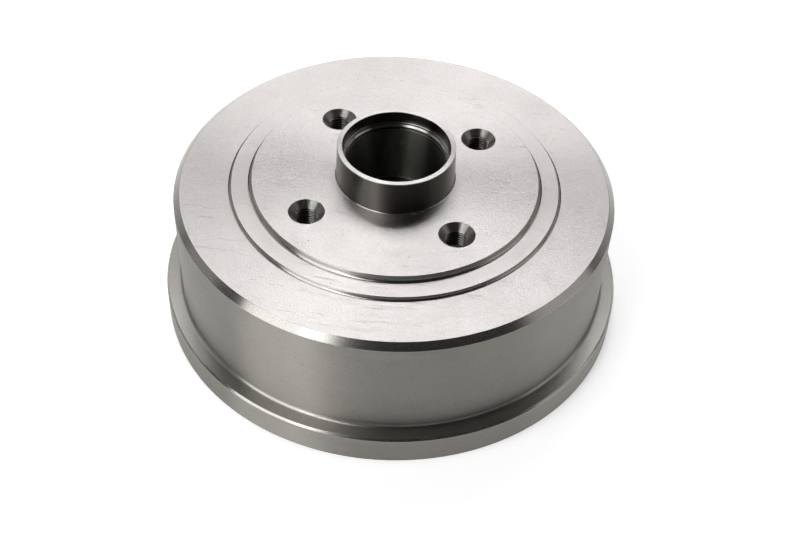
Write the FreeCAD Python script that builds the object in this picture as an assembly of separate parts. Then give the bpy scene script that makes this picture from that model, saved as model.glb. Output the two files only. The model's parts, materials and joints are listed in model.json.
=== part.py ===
import FreeCAD
import Part
import math
import os

# Sizes of a passenger car's rear brake drum with its hub cast in, in millimetres.
# The drum stands on its open edge, and heights are measured up from that edge.

# Braking ring and the outer flange at the open edge
FRICTION_DIAMETER = 200.0
WALL_THICKNESS = 6.4
FLANGE_LIP = 7.9
FLANGE_HEIGHT = 14.8
FLANGE_CHAMFER = 1.3
FLANGE_ROOT_FILLET = 1.2
MOUTH_CHAMFER = 2.0

# Web that closes the drum, and the face on its outside
FACE_HEIGHT = 69.5
RIM_CHAMFER = 3.0
WEB_THICKNESS = 7.5
WEB_CORNER_FILLET = 5.0
OUTER_STEP_RISE = 1.8
OUTER_STEP_RUN = 1.6
INNER_STEP_RISE = 3.0
INNER_STEP_RUN = 1.7
STEP_LAND = 8.2
STEP_FILLET = 0.6

# Wheel bolts
BOLT_CIRCLE_DIAMETER = 100.0
BOLT_COUNT = 4
FIRST_BOLT_ANGLE = 45.0
THREAD_DIAMETER = 12.0
THREAD_PITCH = 1.5
COUNTERSINK_DIAMETER = 17.2
COUNTERSINK_ANGLE = 90.0
COUNTERSINK_TO_STEP = 10.5
THREAD_EXIT_CHAMFER = 0.8

# Hub with its bearing seat, snap ring groove, cap seat and wheel centring collar
BEARING_DIAMETER = 47.0
BEARING_SEAT_LENGTH = 30.6
SHOULDER_WIDTH = 4.0
SHOULDER_THICKNESS = 4.5
RING_GROOVE_DEPTH = 1.25
RING_GROOVE_WIDTH = 1.5
LIP_HEIGHT = 1.0
LIP_CHAMFER = 0.7
CAP_LEDGE_WIDTH = 2.1
CAP_SEAT_DEPTH = 6.2
COLLAR_WALL = 2.95
COLLAR_HEIGHT = 17.5
PILOT_HEIGHT = 4.0
COLLAR_TAPER = 0.45
COLLAR_FILLET = 0.6
BOSS_WALL = 7.5
BOSS_FILLET = 4.0
BOSS_CHAMFER = 1.0
EDGE_BREAK = 0.25

# A metric thread's bore is smaller than the thread by this share of the pitch.
THREAD_BORE_SHARE = 1.0825
# A rounded corner takes up at most this share of the shorter side beside it.
ROUNDING_SHARE = 0.45

friction_radius = FRICTION_DIAMETER / 2
wall_radius = friction_radius + WALL_THICKNESS
flange_radius = wall_radius + FLANGE_LIP

bolt_circle_radius = BOLT_CIRCLE_DIAMETER / 2
countersink_radius = COUNTERSINK_DIAMETER / 2
thread_bore_radius = (THREAD_DIAMETER - THREAD_BORE_SHARE * THREAD_PITCH) / 2
disc_radius = bolt_circle_radius + countersink_radius + COUNTERSINK_TO_STEP

web_inside = FACE_HEIGHT - WEB_THICKNESS
step_height = FACE_HEIGHT + OUTER_STEP_RISE
disc_height = step_height + INNER_STEP_RISE
collar_top = disc_height + COLLAR_HEIGHT

bearing_radius = BEARING_DIAMETER / 2
cap_seat_radius = bearing_radius + CAP_LEDGE_WIDTH
pilot_radius = cap_seat_radius + COLLAR_WALL
cap_ledge = collar_top - CAP_SEAT_DEPTH
groove_top = cap_ledge - LIP_HEIGHT
bearing_seat_top = groove_top - RING_GROOVE_WIDTH
bearing_shoulder = bearing_seat_top - BEARING_SEAT_LENGTH
boss_end = bearing_shoulder - SHOULDER_THICKNESS


def flange_corners():
    """Outside of the drum from its open edge up to the top of the flange."""
    return [
        (friction_radius + MOUTH_CHAMFER, 0, 0),
        (flange_radius, 0, EDGE_BREAK),
        (flange_radius, FLANGE_HEIGHT - FLANGE_CHAMFER, EDGE_BREAK),
        (flange_radius - FLANGE_CHAMFER, FLANGE_HEIGHT, EDGE_BREAK),
        (wall_radius, FLANGE_HEIGHT, FLANGE_ROOT_FILLET),
    ]


def face_corners():
    """Chamfered rim and the face, which rises in two turned steps to the bolt disc."""
    step_radius = disc_radius + INNER_STEP_RUN + STEP_LAND
    return [
        (wall_radius, FACE_HEIGHT - RIM_CHAMFER, EDGE_BREAK),
        (wall_radius - RIM_CHAMFER, FACE_HEIGHT, EDGE_BREAK),
        (step_radius + OUTER_STEP_RUN, FACE_HEIGHT, STEP_FILLET),
        (step_radius, step_height, EDGE_BREAK),
        (disc_radius + INNER_STEP_RUN, step_height, STEP_FILLET),
        (disc_radius, disc_height, EDGE_BREAK),
    ]


def collar_corners():
    """Collar that centres the wheel: full size at its foot, tapered above that."""
    return [
        (pilot_radius, disc_height, COLLAR_FILLET),
        (pilot_radius, disc_height + PILOT_HEIGHT, EDGE_BREAK),
        (pilot_radius - COLLAR_TAPER, collar_top, EDGE_BREAK),
        (cap_seat_radius, collar_top, EDGE_BREAK),
    ]


def bearing_corners():
    """Cap seat, chamfered lip, snap ring groove and bearing seat, down to its shoulder."""
    groove_radius = bearing_radius + RING_GROOVE_DEPTH
    return [
        (cap_seat_radius, cap_ledge, EDGE_BREAK),
        (bearing_radius + LIP_CHAMFER, cap_ledge, 0),
        (bearing_radius, cap_ledge - LIP_CHAMFER, 0),
        (bearing_radius, groove_top, 0),
        (groove_radius, groove_top, 0),
        (groove_radius, bearing_seat_top, 0),
        (bearing_radius, bearing_seat_top, EDGE_BREAK),
        (bearing_radius, bearing_shoulder, EDGE_BREAK),
        (bearing_radius - SHOULDER_WIDTH, bearing_shoulder, EDGE_BREAK),
    ]


def inside_corners():
    """Inner end of the hub, the inside of the web, and the ring that the shoes rub on."""
    boss_radius = bearing_radius + BOSS_WALL
    return [
        (bearing_radius - SHOULDER_WIDTH, boss_end, EDGE_BREAK),
        (boss_radius - BOSS_CHAMFER, boss_end, EDGE_BREAK),
        (boss_radius, boss_end + BOSS_CHAMFER, EDGE_BREAK),
        (boss_radius, web_inside, BOSS_FILLET),
        (friction_radius, web_inside, WEB_CORNER_FILLET),
        (friction_radius, MOUTH_CHAMFER, EDGE_BREAK),
    ]


def bend(before, corner, after, rounding):
    """Start, middle and end of the arc that rounds a corner, tangent to both its sides."""
    to_before = before - corner
    to_after = after - corner
    half_angle = to_before.getAngle(to_after) / 2
    room = ROUNDING_SHARE * min(to_before.Length, to_after.Length)
    reach = min(rounding / math.tan(half_angle), room)
    radius = reach * math.tan(half_angle)
    to_before.normalize()
    to_after.normalize()
    inward = (to_before + to_after).normalize()
    middle = corner + inward * (radius / math.sin(half_angle) - radius)
    return corner + to_before * reach, middle, corner + to_after * reach


def turned(corners):
    """Solid turned from a closed half section of (radius, height, rounding) corners."""
    points = [FreeCAD.Vector(radius, 0, height) for radius, height, _ in corners]
    followers = points[1:] + points[:1]
    bends = []
    for index, (_, _, rounding) in enumerate(corners):
        bends.append(bend(points[index - 1], points[index], followers[index], rounding))
    edges = []
    for index, (start, middle, end) in enumerate(bends):
        if corners[index][2]:
            edges.append(Part.Arc(start, middle, end).toShape())
        next_start = bends[(index + 1) % len(bends)][0]
        edges.append(Part.LineSegment(end, next_start).toShape())
    section = Part.Face(Part.Wire(edges))
    return section.revolve(FreeCAD.Vector(0, 0, 0), FreeCAD.Vector(0, 0, 1), 360)


def wheel_bolt_hole():
    """Bore of one threaded hole, with its countersink and the chamfer at its inner end."""
    slope = math.tan(math.radians(COUNTERSINK_ANGLE / 2))
    sink_depth = (countersink_radius - thread_bore_radius) / slope
    exit_radius = thread_bore_radius + THREAD_EXIT_CHAMFER
    return turned([
        (0, web_inside, 0),
        (exit_radius, web_inside, 0),
        (thread_bore_radius, web_inside + THREAD_EXIT_CHAMFER, 0),
        (thread_bore_radius, disc_height - sink_depth, 0),
        (countersink_radius, disc_height, 0),
        (0, disc_height, 0),
    ])


def brake_drum():
    """The turned casting, with the wheel bolt holes cut through its disc."""
    drum = turned(
        flange_corners() + face_corners() + collar_corners() + bearing_corners() + inside_corners()
    )
    for number in range(BOLT_COUNT):
        hole = wheel_bolt_hole()
        hole.translate(FreeCAD.Vector(bolt_circle_radius, 0, 0))
        angle = FIRST_BOLT_ANGLE + number * 360 / BOLT_COUNT
        hole.rotate(FreeCAD.Vector(0, 0, 0), FreeCAD.Vector(0, 0, 1), angle)
        drum = drum.cut(hole)
    return drum


os.makedirs("parts", exist_ok=True)
brake_drum().exportStep("parts/brake_drum.step")
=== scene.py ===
import json
import math

import bmesh
import bpy
from mathutils import Matrix, Vector


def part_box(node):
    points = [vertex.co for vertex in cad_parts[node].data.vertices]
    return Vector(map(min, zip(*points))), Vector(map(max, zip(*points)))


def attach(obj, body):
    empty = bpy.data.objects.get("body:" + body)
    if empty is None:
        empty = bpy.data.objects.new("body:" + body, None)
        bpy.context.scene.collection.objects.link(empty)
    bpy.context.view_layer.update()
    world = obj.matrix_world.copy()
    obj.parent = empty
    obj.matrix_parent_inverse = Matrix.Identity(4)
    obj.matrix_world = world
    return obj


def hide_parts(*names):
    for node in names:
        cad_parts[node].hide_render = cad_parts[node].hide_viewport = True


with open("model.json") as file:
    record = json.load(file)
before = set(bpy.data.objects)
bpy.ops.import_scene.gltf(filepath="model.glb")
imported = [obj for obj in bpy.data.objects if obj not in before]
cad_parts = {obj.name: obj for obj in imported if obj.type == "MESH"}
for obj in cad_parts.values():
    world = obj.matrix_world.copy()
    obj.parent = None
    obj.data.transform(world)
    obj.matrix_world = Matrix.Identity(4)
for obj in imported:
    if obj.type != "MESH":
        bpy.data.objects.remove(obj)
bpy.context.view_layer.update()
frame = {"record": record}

# The drum is one casting of grey iron with its hub in one piece with it, turned on a
# lathe. Its half section is drawn corner by corner, each corner is rounded as the tool
# left it, and the outline is spun about the axis. Heights are up from the open edge.
mounts = {mount["name"]: mount for mount in frame["record"]["mounts"]}


def mount_size(name, size):
    """A mount's size in metres."""
    return mounts[name]["dims"][size] / 1000


high_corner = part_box("brake_drum")[1]
flange_radius = high_corner.x
collar_top = high_corner.z
flange_lip = 0.0079
flange_height = 0.0148
flange_chamfer = 0.0009
flange_root_round = 0.0016
wall_radius = flange_radius - flange_lip
wall_thickness = 0.0064
friction_radius = wall_radius - wall_thickness
mouth_chamfer = 0.002

disc_height = mounts["wheel_seat"]["pos_m"][2]
disc_radius = 0.0691
inner_step_rise = 0.003
inner_step_run = 0.0006
inner_step_round = 0.0018
outer_step_rise = 0.0018
outer_step_run = 0.0004
outer_step_round = 0.0014
step_edge_round = 0.0004
step_spacing = 0.0099
step_radius = disc_radius + step_spacing
land_height = disc_height - inner_step_rise
face_height = land_height - outer_step_rise
rim_chamfer = 0.003
web_thickness = 0.0075
web_inside = face_height - web_thickness
web_corner_round = 0.005

pilot_radius = mount_size("wheel_pilot", "r_mm")
pilot_height = 0.004
collar_taper = 0.00045
collar_round = 0.0006
cap_seat_radius = mount_size("cap_seat", "r_mm")
cap_seat_depth = 0.0062
cap_ledge = collar_top - cap_seat_depth
bearing_radius = mount_size("bearing_seat", "r_mm")
lip_height = 0.001
lip_chamfer = 0.0007
groove_width = 0.0015
groove_depth = 0.00125
groove_top = cap_ledge - lip_height
groove_radius = bearing_radius + groove_depth
bearing_seat_top = groove_top - groove_width
bearing_seat_length = 0.0306
bearing_shoulder = bearing_seat_top - bearing_seat_length
shoulder_width = 0.004
shoulder_thickness = 0.0045
axle_hole_radius = bearing_radius - shoulder_width
boss_wall = 0.0075
boss_radius = bearing_radius + boss_wall
boss_end = bearing_shoulder - shoulder_thickness
boss_chamfer = 0.001
boss_round = 0.004
edge_break = 0.00025

drum_corners = [
    (friction_radius + mouth_chamfer, 0, 0),
    (flange_radius, 0, edge_break),
    (flange_radius, flange_height - flange_chamfer, edge_break),
    (flange_radius - flange_chamfer, flange_height, edge_break),
    (wall_radius, flange_height, flange_root_round),
    (wall_radius, face_height - rim_chamfer, edge_break),
    (wall_radius - rim_chamfer, face_height, edge_break),
    (step_radius + outer_step_run, face_height, outer_step_round),
    (step_radius, land_height, step_edge_round),
    (disc_radius + inner_step_run, land_height, inner_step_round),
    (disc_radius, disc_height, step_edge_round),
    (pilot_radius, disc_height, collar_round),
    (pilot_radius, disc_height + pilot_height, edge_break),
    (pilot_radius - collar_taper, collar_top, edge_break),
    (cap_seat_radius, collar_top, edge_break),
    (cap_seat_radius, cap_ledge, edge_break),
    (bearing_radius + lip_chamfer, cap_ledge, 0),
    (bearing_radius, cap_ledge - lip_chamfer, 0),
    (bearing_radius, groove_top, 0),
    (groove_radius, groove_top, 0),
    (groove_radius, bearing_seat_top, 0),
    (bearing_radius, bearing_seat_top, edge_break),
    (bearing_radius, bearing_shoulder, edge_break),
    (axle_hole_radius, bearing_shoulder, edge_break),
    (axle_hole_radius, boss_end, edge_break),
    (boss_radius - boss_chamfer, boss_end, edge_break),
    (boss_radius, boss_end + boss_chamfer, edge_break),
    (boss_radius, web_inside, boss_round),
    (friction_radius, web_inside, web_corner_round),
    (friction_radius, mouth_chamfer, edge_break),
]
drum_steps = 240
rounding_segments = 6
touching = 1e-6
nearby = 1e-4


def select_at(mesh, places):
    """In edit mode, selects only the vertices at the given places."""
    bpy.ops.mesh.select_all(action="DESELECT")
    editing = bmesh.from_edit_mesh(mesh)
    for vertex in editing.verts:
        if min((vertex.co - place).length for place in places) < touching:
            vertex.select = True
    editing.select_flush_mode()
    bmesh.update_edit_mesh(mesh)


def draw_outline(name, corners):
    """A new object in edit mode, a line through (radius, height, rounding) corners."""
    places = [Vector((radius, 0, height)) for radius, height, _ in corners]
    bpy.ops.object.select_all(action="DESELECT")
    bpy.ops.mesh.primitive_plane_add(size=edge_break, location=places[0])
    outline = bpy.context.object
    outline.name = name
    outline.data.name = name
    bpy.ops.object.transform_apply(location=True)
    bpy.ops.object.mode_set(mode="EDIT")
    bpy.ops.mesh.merge(type="CENTER")
    for start, end in zip(places, places[1:]):
        bpy.ops.mesh.extrude_region_move(TRANSFORM_OT_translate={"value": end - start})
    return outline, places


def turn_on_lathe(outline, steps):
    """Spins an outline about +Z into a closed shape, and leaves edit mode."""
    bpy.ops.mesh.select_all(action="SELECT")
    bpy.ops.mesh.spin(steps=steps, angle=math.tau, center=(0, 0, 0), axis=(0, 0, 1))
    bpy.ops.mesh.select_all(action="SELECT")
    bpy.ops.mesh.remove_doubles(threshold=touching)
    bpy.ops.mesh.normals_make_consistent(inside=False)
    bpy.ops.object.mode_set(mode="OBJECT")


drum, drum_places = draw_outline("turned_drum", drum_corners)
select_at(drum.data, (drum_places[0], drum_places[-1]))
bpy.ops.mesh.edge_face_add()
for index, (_, _, rounding) in enumerate(drum_corners):
    if rounding:
        corner = drum_places[index]
        following = drum_places[(index + 1) % len(drum_places)]
        half_angle = (drum_places[index - 1] - corner).angle(following - corner) / 2
        select_at(drum.data, (corner,))
        bpy.ops.mesh.bevel(
            offset=rounding / math.tan(half_angle), segments=rounding_segments, affect="VERTICES"
        )
turn_on_lathe(drum, drum_steps)


def effect_group(name, outputs):
    """A shader node group with one number coming out under each of the names."""
    group = bpy.data.node_groups.new(name, "ShaderNodeTree")
    for output in outputs:
        group.interface.new_socket(name=output, in_out="OUTPUT", socket_type="NodeSocketFloat")
    return group, group.nodes.new("NodeGroupOutput")


def add_node(tree, kind, inputs, **settings):
    """A node with its settings, and each input set to a value or linked to a socket."""
    node = tree.nodes.new(kind)
    for setting, value in settings.items():
        setattr(node, setting, value)
    for name, value in inputs.items():
        if isinstance(value, bpy.types.NodeSocket):
            tree.links.new(value, node.inputs[name])
        else:
            node.inputs[name].default_value = value
    return node


# tool marks: rings by radius less height, which run round every turned surface
marks, marks_out = effect_group("tool_marks", ["Fine", "Broad"])
place = add_node(marks, "ShaderNodeTexCoord", {}).outputs["Object"]
flat_place = add_node(marks, "ShaderNodeVectorMath", {0: place, 1: (1, 1, 0)}, operation="MULTIPLY")
from_axis = add_node(marks, "ShaderNodeVectorMath", {0: flat_place.outputs[0]}, operation="LENGTH")
height = add_node(marks, "ShaderNodeSeparateXYZ", {0: place}).outputs["Z"]
across = add_node(
    marks, "ShaderNodeMath", {0: from_axis.outputs["Value"], 1: height}, operation="SUBTRACT"
)
for output, rings_per_metre in (("Fine", 1900), ("Broad", 330)):
    rings = add_node(
        marks, "ShaderNodeTexNoise",
        {"W": across.outputs[0], "Scale": rings_per_metre, "Detail": 2}, noise_dimensions="1D",
    )
    marks.links.new(rings.outputs[0], marks_out.inputs[output])

# grain: the iron's own fine mottle, cloudy stains with open pores, and hair scratches
grain, grain_out = effect_group("iron_grain", ["Mottle", "Tone", "Nicks"])
place = add_node(grain, "ShaderNodeTexCoord", {}).outputs["Object"]
mottle = add_node(
    grain, "ShaderNodeTexNoise", {"Vector": place, "Scale": 1500, "Detail": 2, "Roughness": 0.6}
)
grain.links.new(mottle.outputs[0], grain_out.inputs["Mottle"])
cells = add_node(grain, "ShaderNodeTexVoronoi", {"Vector": place, "Scale": 150})
pore = add_node(
    grain, "ShaderNodeMapRange",
    {"Value": cells.outputs["Distance"], "From Min": 0.05, "From Max": 0.035},
)
solid_iron = add_node(grain, "ShaderNodeMath", {0: 1, 1: pore.outputs[0]}, operation="SUBTRACT")
cloud = add_node(
    grain, "ShaderNodeTexNoise", {"Vector": place, "Scale": 45, "Detail": 3, "Roughness": 0.6}
)
mottle_share = 0.7
cloudy = add_node(
    grain, "ShaderNodeMath", {0: cloud.outputs[0], 1: 1 - mottle_share}, operation="MULTIPLY"
)
mottled = add_node(
    grain, "ShaderNodeMath",
    {0: mottle.outputs[0], 1: mottle_share, 2: cloudy.outputs[0]}, operation="MULTIPLY_ADD",
)
tone = add_node(
    grain, "ShaderNodeMath", {0: mottled.outputs[0], 1: solid_iron.outputs[0]}, operation="MULTIPLY"
)
grain.links.new(tone.outputs[0], grain_out.inputs["Tone"])
slanted = add_node(
    grain, "ShaderNodeMapping", {"Vector": place, "Rotation": (0.5, 0.6, 0.8), "Scale": (1, 30, 30)}
)
streaks = add_node(
    grain, "ShaderNodeTexNoise", {"Vector": slanted.outputs[0], "Scale": 60, "Detail": 1}
)
scratch = add_node(
    grain, "ShaderNodeMapRange", {"Value": streaks.outputs[0], "From Min": 0.7, "From Max": 0.76}
)
nicks = add_node(
    grain, "ShaderNodeMath", {0: pore.outputs[0], 1: scratch.outputs[0]}, operation="MAXIMUM"
)
grain.links.new(nicks.outputs[0], grain_out.inputs["Nicks"])

# shades of a finish's colour in its pores, its darker patches and its lighter ones
pore_shade = 0.3
dark_shade = 0.88
light_shade = 1.12
dark_tone = 0.32
light_tone = 0.68
polish_change = 0.01
quarter_turn = 0.25


def shade(colour, share):
    """A lighter or darker shade of a colour."""
    return (*(share * channel for channel in colour), 1)


def iron_finish(name, colour, roughness, anisotropy, mark_depth, mottle_depth):
    """Bare metal whose reflections spread across the tool marks; depths in millimetres."""
    finish = bpy.data.materials.new(name)
    finish.use_nodes = True
    tree = finish.node_tree
    ring = add_node(tree, "ShaderNodeGroup", {}, node_tree=marks)
    speck = add_node(tree, "ShaderNodeGroup", {}, node_tree=grain)
    shader = tree.nodes["Principled BSDF"]
    shader.inputs["Metallic"].default_value = 1
    shader.inputs["Anisotropic"].default_value = anisotropy
    shader.inputs["Anisotropic Rotation"].default_value = quarter_turn
    tangent = add_node(tree, "ShaderNodeTangent", {}, direction_type="RADIAL", axis="Z")
    tree.links.new(tangent.outputs["Tangent"], shader.inputs["Tangent"])
    tone = add_node(tree, "ShaderNodeValToRGB", {0: speck.outputs["Tone"]})
    stops = tone.color_ramp.elements
    stops[0].color = shade(colour, pore_shade)
    stops[1].color = shade(colour, light_shade)
    stops[1].position = light_tone
    stops.new(dark_tone).color = shade(colour, dark_shade)
    tree.links.new(tone.outputs["Color"], shader.inputs["Base Color"])
    polish = add_node(
        tree, "ShaderNodeMapRange",
        {
            "Value": ring.outputs["Broad"], "From Min": 0.3, "From Max": 0.7,
            "To Min": roughness - polish_change, "To Max": roughness + polish_change,
        },
    )
    tree.links.new(polish.outputs[0], shader.inputs["Roughness"])
    groove = add_node(
        tree, "ShaderNodeMath", {0: ring.outputs["Fine"], 1: mark_depth}, operation="MULTIPLY"
    )
    bumpy = add_node(
        tree, "ShaderNodeMath",
        {0: speck.outputs["Mottle"], 1: mottle_depth, 2: groove.outputs[0]}, operation="MULTIPLY_ADD",
    )
    nicked = add_node(
        tree, "ShaderNodeMath",
        {0: speck.outputs["Nicks"], 1: -mottle_depth, 2: bumpy.outputs[0]}, operation="MULTIPLY_ADD",
    )
    bump = add_node(
        tree, "ShaderNodeBump", {"Height": nicked.outputs[0], "Strength": 1, "Distance": 0.001}
    )
    tree.links.new(bump.outputs["Normal"], shader.inputs["Normal"])
    return finish


# each finish has a colour, a roughness, an anisotropy, and the depths of marks and mottle
faced_iron = iron_finish("faced_iron", (0.64, 0.61, 0.6), 0.35, 0.87, 0.004, 0.13)
edge_iron = iron_finish("edge_iron", (0.46, 0.445, 0.42), 0.24, 0.88, 0.002, 0.003)
# the outer wall is the same iron in a darker colour: painted shade for the dim floor it mirrors
wall_iron_painted_shade = iron_finish("wall_iron_painted_shade", (0.305, 0.292, 0.268), 0.4, 1, 0.004, 0.03)
flange_iron = iron_finish("flange_iron", (0.44, 0.425, 0.4), 0.29, 0.9, 0.002, 0.03)
# the collar, the cap seat and the axle hole are made near black: painted shade on the same iron
pilot_iron_painted_shade = iron_finish("pilot_iron_painted_shade", (0.11, 0.106, 0.095), 0.21, 0.97, 0.002, 0.03)
# the bearing bore is darker than the iron outside it: painted shade down in the bore
bore_iron_painted_shade = iron_finish("bore_iron_painted_shade", (0.22, 0.217, 0.19), 0.31, 1, 0.002, 0.08)
braking_iron = iron_finish("braking_iron", (0.45, 0.435, 0.41), 0.44, 0.9, 0.006, 0.05)
cast_skin = iron_finish("cast_skin", (0.2, 0.2, 0.2), 0.6, 0, 0, 0.15)
finishes = [
    edge_iron, faced_iron, wall_iron_painted_shade, flange_iron, pilot_iron_painted_shade, bore_iron_painted_shade, braking_iron, cast_skin
]

facing_up = 0.99
facing_sideways = 0.1


def finish_at(radius, height, upward):
    """The finish of a face by its place in the half section and the way it faces."""
    collar_edge = collar_top - edge_break
    if radius < bearing_radius - edge_break:
        return pilot_iron_painted_shade
    if radius < cap_seat_radius and height < collar_edge:
        if height > cap_ledge + edge_break:
            return pilot_iron_painted_shade
        if height > groove_top:
            return edge_iron
        return bore_iron_painted_shade
    if boss_radius - nearby < radius < friction_radius - nearby and height < web_inside + nearby:
        return cast_skin
    if radius < friction_radius + mouth_chamfer and height < web_inside:
        return braking_iron
    if upward > facing_up and height > face_height - nearby:
        return faced_iron
    if radius > wall_radius - nearby and height < face_height - rim_chamfer:
        if abs(upward) < facing_sideways:
            return wall_iron_painted_shade
    if flange_height - touching < height < flange_height + flange_root_round and radius > wall_radius:
        return flange_iron
    if radius < pilot_radius + nearby and disc_height + collar_round / 2 < height < collar_edge:
        return pilot_iron_painted_shade
    return edge_iron


for finish in finishes:
    drum.data.materials.append(finish)
for face in drum.data.polygons:
    finish = finish_at(face.center.xy.length, face.center.z, face.normal.z)
    face.material_index = finishes.index(finish)

# Four wheel bolt holes are drilled through the disc, countersunk, and tapped M12 x 1.5.
# One cutter has the hole's shape and another the groove of the thread, and both are
# copied round the bolt circle and cut out of the casting.
bolt_circle_radius = mount_size("wheel_bolts", "pcd_mm") / 2
bolt_count = mounts["wheel_bolts"]["dims"]["count"]
first_bolt_angle = math.radians(45)
thread_bore_radius = mount_size("wheel_bolts", "hole_r_mm")
thread_radius = 0.006
thread_pitch = 0.0015
countersink_radius = 0.0086
exit_chamfer = 0.0008
cutter_overrun = 0.002

# the holes and their threads are darker than the face round them: painted shade in the holes
tapped_iron_painted_shade = iron_finish("tapped_iron_painted_shade", (0.27, 0.262, 0.245), 0.3, 0.88, 0, 0.06)
thread_iron_painted_shade = iron_finish("thread_iron_painted_shade", (0.28, 0.27, 0.25), 0.25, 0.8, 0, 0)

# the marks in a hole run round its own axis, which lies in the same quarter as the place
hole_offset = bolt_circle_radius * math.cos(first_bolt_angle)
for finish in (tapped_iron_painted_shade, thread_iron_painted_shade):
    tree = finish.node_tree
    place = add_node(tree, "ShaderNodeTexCoord", {}).outputs["Object"]
    quarter = add_node(tree, "ShaderNodeVectorMath", {0: place}, operation="SIGN")
    hole_place = add_node(
        tree, "ShaderNodeVectorMath",
        {0: quarter.outputs[0], 1: (hole_offset, hole_offset, 0)}, operation="MULTIPLY",
    )
    from_hole = add_node(
        tree, "ShaderNodeVectorMath", {0: place, 1: hole_place.outputs[0]}, operation="SUBTRACT"
    )
    round_hole = add_node(
        tree, "ShaderNodeVectorMath",
        {0: (0, 0, 1), 1: from_hole.outputs[0]}, operation="CROSS_PRODUCT",
    )
    tree.links.new(round_hole.outputs[0], tree.nodes["Principled BSDF"].inputs["Tangent"])

hole_corners = [
    (0, web_inside - cutter_overrun, 0),
    (thread_bore_radius + exit_chamfer + cutter_overrun, web_inside - cutter_overrun, 0),
    (thread_bore_radius, web_inside + exit_chamfer, 0),
    (thread_bore_radius, disc_height - (countersink_radius - thread_bore_radius), 0),
    (countersink_radius + cutter_overrun, disc_height + cutter_overrun, 0),
    (0, disc_height + cutter_overrun, 0),
]
hole_steps = 64
hole_cutter, _ = draw_outline("hole_cutter", hole_corners)
turn_on_lathe(hole_cutter, hole_steps)
hole_cutter.data.materials.append(tapped_iron_painted_shade)

thread_overlap = 0.0002
thread_flank_angle = math.radians(30)
thread_steps = 48
thread_inner_radius = thread_bore_radius - thread_overlap
flank_height = (thread_radius - thread_inner_radius) * math.tan(thread_flank_angle)
crest_width = thread_pitch / 8
valley_width = thread_pitch - crest_width - 2 * flank_height
thread_bottom = web_inside - cutter_overrun
thread_turns = math.ceil((disc_height - thread_bottom) / thread_pitch)
thread_corners = [
    (thread_inner_radius, thread_bottom, 0),
    (thread_inner_radius, thread_bottom + valley_width, 0),
    (thread_radius, thread_bottom + valley_width + flank_height, 0),
    (thread_radius, thread_bottom + thread_pitch - flank_height, 0),
    (thread_inner_radius, thread_bottom + thread_pitch, 0),
]
thread_cutter, _ = draw_outline("thread_cutter", thread_corners)
bpy.ops.object.mode_set(mode="OBJECT")
screw = thread_cutter.modifiers.new("thread", "SCREW")
screw.screw_offset = thread_pitch
screw.iterations = thread_turns
screw.steps = thread_steps
screw.render_steps = thread_steps
screw.use_merge_vertices = True
screw.merge_threshold = touching
bpy.ops.object.modifier_apply(modifier=screw.name)


def close_thread_end(mesh, is_end):
    """Draws the open end of the thread cutter together to one point."""
    bpy.ops.mesh.select_all(action="DESELECT")
    editing = bmesh.from_edit_mesh(mesh)
    for edge in editing.edges:
        middle = (edge.verts[0].co + edge.verts[1].co) / 2
        if edge.is_boundary and is_end(middle.z):
            edge.select = True
    editing.select_flush_mode()
    bmesh.update_edit_mesh(mesh)
    bpy.ops.mesh.extrude_region_move()
    bpy.ops.mesh.merge(type="CENTER")


thread_middle = thread_bottom + thread_turns * thread_pitch / 2
bpy.ops.object.mode_set(mode="EDIT")
bpy.ops.mesh.select_mode(type="EDGE")
close_thread_end(thread_cutter.data, lambda height: height < thread_middle)
close_thread_end(thread_cutter.data, lambda height: height > thread_middle)
bpy.ops.mesh.select_mode(type="VERT")
bpy.ops.mesh.select_all(action="SELECT")
bpy.ops.mesh.normals_make_consistent(inside=False)
bpy.ops.object.mode_set(mode="OBJECT")
thread_cutter.data.materials.append(thread_iron_painted_shade)


def cut_round_bolt_circle(cutter):
    """Cuts a cutter out of the drum at every place on the bolt circle, then removes it."""
    bpy.ops.object.select_all(action="DESELECT")
    copies = []
    for number in range(bolt_count):
        copy = bpy.data.objects.new(cutter.name, cutter.data.copy())
        bpy.context.collection.objects.link(copy)
        turn = Matrix.Rotation(first_bolt_angle + number * math.tau / bolt_count, 4, "Z")
        copy.data.transform(turn @ Matrix.Translation((bolt_circle_radius, 0, 0)))
        copy.select_set(True)
        copies.append(copy)
    bpy.context.view_layer.objects.active = copies[0]
    bpy.ops.object.join()
    bpy.ops.object.select_all(action="DESELECT")
    bpy.context.view_layer.objects.active = drum
    drum.select_set(True)
    cut = drum.modifiers.new("cut", "BOOLEAN")
    cut.operation = "DIFFERENCE"
    cut.solver = "EXACT"
    cut.material_mode = "TRANSFER"
    cut.object = copies[0]
    bpy.ops.object.modifier_apply(modifier=cut.name)
    bpy.data.objects.remove(copies[0])
    bpy.data.objects.remove(cutter)


cut_round_bolt_circle(hole_cutter)
cut_round_bolt_circle(thread_cutter)
smooth_angle = math.radians(30)
bpy.ops.object.shade_smooth_by_angle(angle=smooth_angle)
weighting = drum.modifiers.new("weighting", "WEIGHTED_NORMAL")
weighting.keep_sharp = True
bpy.ops.object.modifier_apply(modifier=weighting.name)
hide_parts("brake_drum")
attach(drum, "root")

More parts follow.
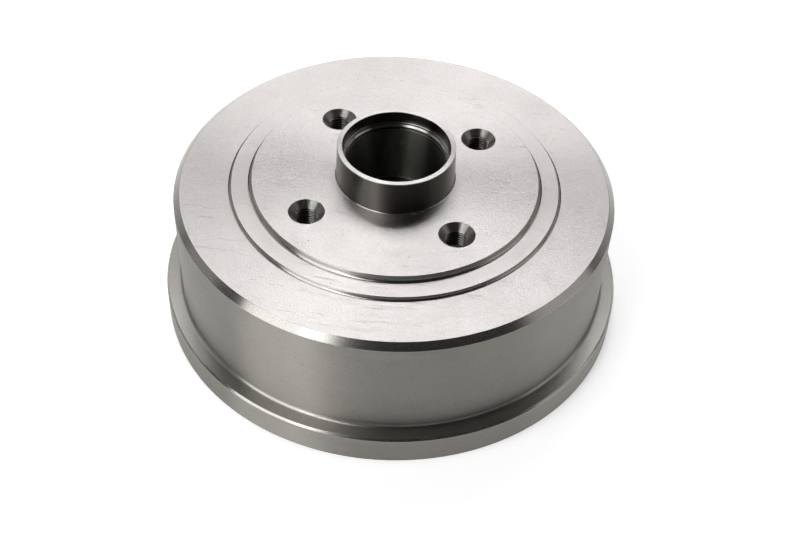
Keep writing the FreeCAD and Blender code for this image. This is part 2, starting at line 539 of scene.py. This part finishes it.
# The drum stands on a plain white floor, which curves up into a low white backdrop all
# round. Both are one sheet with matt paint, which shows the drum's shadow. The camera and
# the metal see a faint glow on it: none under the drum, rising to full just past its foot
# as a painted contact shadow, and half far out.
floor_glow = 0.62
contact_shadow = 0.003
full_glow_radius = 0.4
far_radius = 0.65
far_share = 0.5
floor_radius = 3
backdrop_height = 0.45
backdrop_round = 0.3
backdrop_segments = 8
floor_steps = 96
floor_paint = bpy.data.materials.new("floor_paint")
floor_paint.use_nodes = True
tree = floor_paint.node_tree
paint = tree.nodes["Principled BSDF"]
paint.inputs["Base Color"].default_value = (0.9, 0.9, 0.9, 1)
paint.inputs["Roughness"].default_value = 1
paint.inputs["Emission Color"].default_value = (1, 1, 1, 1)
ray = add_node(tree, "ShaderNodeLightPath", {})
seen = add_node(
    tree, "ShaderNodeMath",
    {0: ray.outputs["Is Camera Ray"], 1: ray.outputs["Is Glossy Ray"]}, operation="MAXIMUM",
)
seen_at_all = add_node(
    tree, "ShaderNodeMath",
    {0: seen.outputs[0], 1: ray.outputs["Is Transmission Ray"]}, operation="MAXIMUM",
)
floor_place = add_node(tree, "ShaderNodeTexCoord", {})
from_middle = add_node(
    tree, "ShaderNodeVectorMath", {0: floor_place.outputs["Object"]}, operation="LENGTH"
)
# the glow is black under the drum and rises to full 3 mm past its edge: a painted contact shadow
# round its foot
spread = add_node(tree, "ShaderNodeValToRGB", {0: from_middle.outputs["Value"]})
glow_and_painted_shadow_stops = spread.color_ramp.elements
glow_and_painted_shadow_stops[0].position = friction_radius
glow_and_painted_shadow_stops[0].color = (0, 0, 0, 1)
glow_and_painted_shadow_stops[1].position = far_radius
glow_and_painted_shadow_stops[1].color = (far_share, far_share, far_share, 1)
for distance in (flange_radius + contact_shadow, full_glow_radius):
    glow_and_painted_shadow_stops.new(distance).color = (1, 1, 1, 1)
glow = add_node(
    tree, "ShaderNodeMath",
    {0: seen_at_all.outputs[0], 1: spread.outputs["Color"]}, operation="MULTIPLY",
)
glow_strength = add_node(
    tree, "ShaderNodeMath", {0: glow.outputs[0], 1: floor_glow}, operation="MULTIPLY"
)
tree.links.new(glow_strength.outputs[0], paint.inputs["Emission Strength"])
floor_corners = [
    (0, 0, 0),
    (floor_radius, 0, backdrop_round),
    (floor_radius + backdrop_round, backdrop_height, 0),
]
floor, floor_places = draw_outline("floor", floor_corners)
select_at(floor.data, (floor_places[1],))
bpy.ops.mesh.bevel(offset=backdrop_round / 2, segments=backdrop_segments, affect="VERTICES")
turn_on_lathe(floor, floor_steps)
floor.data.materials.append(floor_paint)

# The camera looks down at the drum as in the photograph, with a slight roll.
view_turn = math.radians(8.54)
camera_elevation = math.radians(44.946)
camera_roll = math.radians(2.867)
camera_distance = 0.589414
camera_aside = -0.002346
camera_up = 0.041064
camera_data = bpy.data.cameras.new("camera")
camera_data.sensor_width = 36
camera_data.lens = 54.825
camera = bpy.data.objects.new("camera", camera_data)
bpy.context.collection.objects.link(camera)
camera_turn = (
    Matrix.Rotation(view_turn, 4, "Z")
    @ Matrix.Rotation(math.pi / 2 - camera_elevation, 4, "X")
    @ Matrix.Rotation(camera_roll, 4, "Z")
)
camera_offset = camera_turn @ Vector((-camera_aside, -camera_up, camera_distance))
camera.matrix_world = Matrix.Translation(Vector((0, 0, face_height)) + camera_offset) @ camera_turn
bpy.context.scene.camera = camera

# The studio light is a row of soft lamps behind the drum, which its face mirrors, a tall
# one at the front left with a weaker edge beside it, and faint cards and fills all round.


def softbox(name, bearing, elevation, distance, width, height, brightness):
    """A soft lamp aimed at the drum, its bearing counted rightwards from the camera's."""
    lamp_data = bpy.data.lights.new(name, "AREA")
    lamp_data.shape = "RECTANGLE"
    lamp_data.size = width
    lamp_data.size_y = height
    lamp_data.energy = math.pi * width * height * brightness
    lamp = bpy.data.objects.new(name, lamp_data)
    bpy.context.collection.objects.link(lamp)
    turn = (
        Matrix.Rotation(view_turn + math.radians(bearing), 4, "Z")
        @ Matrix.Rotation(math.pi / 2 - math.radians(elevation), 4, "X")
    )
    lamp.matrix_world = Matrix.Translation(turn @ Vector((0, 0, distance))) @ turn
    lamp.visible_camera = False


# each lamp has a bearing, an elevation, a distance, a width, a height and a brightness
softbox("overhead_softbox", 180, 61, 1.5, 0.7, 0.2, 7.5)
softbox("back_softbox", 180, 51, 1.5, 0.7, 0.36, 2.3)
softbox("back_right_softbox", 149, 51.5, 1.5, 0.34, 0.36, 2)
softbox("back_left_softbox", -149, 51.5, 1.5, 0.34, 0.36, 1.9)
softbox("back_low_softbox", 180, 19, 1.5, 1.4, 0.3, 2.3)
softbox("front_left_softbox", -50, 36, 1.2, 0.7, 1.6, 2)
softbox("front_left_edge", -32, 36, 1.2, 0.25, 1.6, 1.4)
softbox("left_card", -95, 35, 1.4, 0.5, 1.2, 0.36)
softbox("right_card", 85, 25, 1.5, 0.9, 0.9, 0.55)
softbox("back_left_fill", -125, 38, 1.5, 0.5, 0.8, 1)
softbox("back_right_fill", 125, 38, 1.5, 0.5, 0.8, 0.6)

world = bpy.data.worlds.new("room")
bpy.context.scene.world = world
world.use_nodes = True
world.node_tree.nodes["Background"].inputs["Color"].default_value = (0.02, 0.02, 0.02, 1)
bpy.context.scene.view_settings.view_transform = "Standard"
